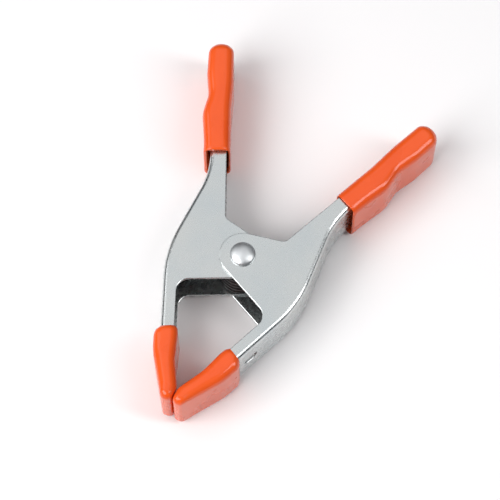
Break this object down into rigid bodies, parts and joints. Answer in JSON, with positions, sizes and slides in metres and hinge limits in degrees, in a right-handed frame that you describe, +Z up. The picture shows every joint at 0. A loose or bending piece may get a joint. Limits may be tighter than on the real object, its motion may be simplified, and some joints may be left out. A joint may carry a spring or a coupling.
{
  "type": "spring clamp",
  "caption": "Hand-squeezed spring clamp: two pivoted sheet-steel channel arms with vinyl handle grips and jaw sleeves, closed by a torsion spring.",
  "frame": {"origin": "centre of the overall box at its lowest plane, with the clamp lying on its side", "axes": "+X towards the jaws, +Z up along the pivot axis, +Y towards the outer arm"},
  "size_m": [0.1472, 0.0996, 0.0264],
  "materials": {
    "zinc_steel": "satin blue-grey zinc plating",
    "orange_vinyl": "smooth glossy soft vinyl",
    "bright_rivet": "bright plated",
    "black_spring_steel": "black oxide, slightly oily"
  },
  "bodies": {
    "inner_half": {"inner_arm": "zinc_steel", "inner_handle_grip": "orange_vinyl", "inner_jaw_sleeve": "orange_vinyl", "torsion_spring": "black_spring_steel"},
    "outer_half": {"outer_arm": "zinc_steel", "outer_handle_grip": "orange_vinyl", "outer_jaw_sleeve": "orange_vinyl", "pivot_rivet": "bright_rivet"}
  },
  "joints": [
    {"name": "pivot", "type": "hinge", "parent": "inner_half", "child": "outer_half", "pos_m": [0.00788, 0, 0.0127], "axis": [0, 0, 1], "range_deg": [0, 44], "stiffness_Nm_per_rad": 4, "springref_deg": -34.38, "deforming": ["torsion_spring"]}
  ]
}
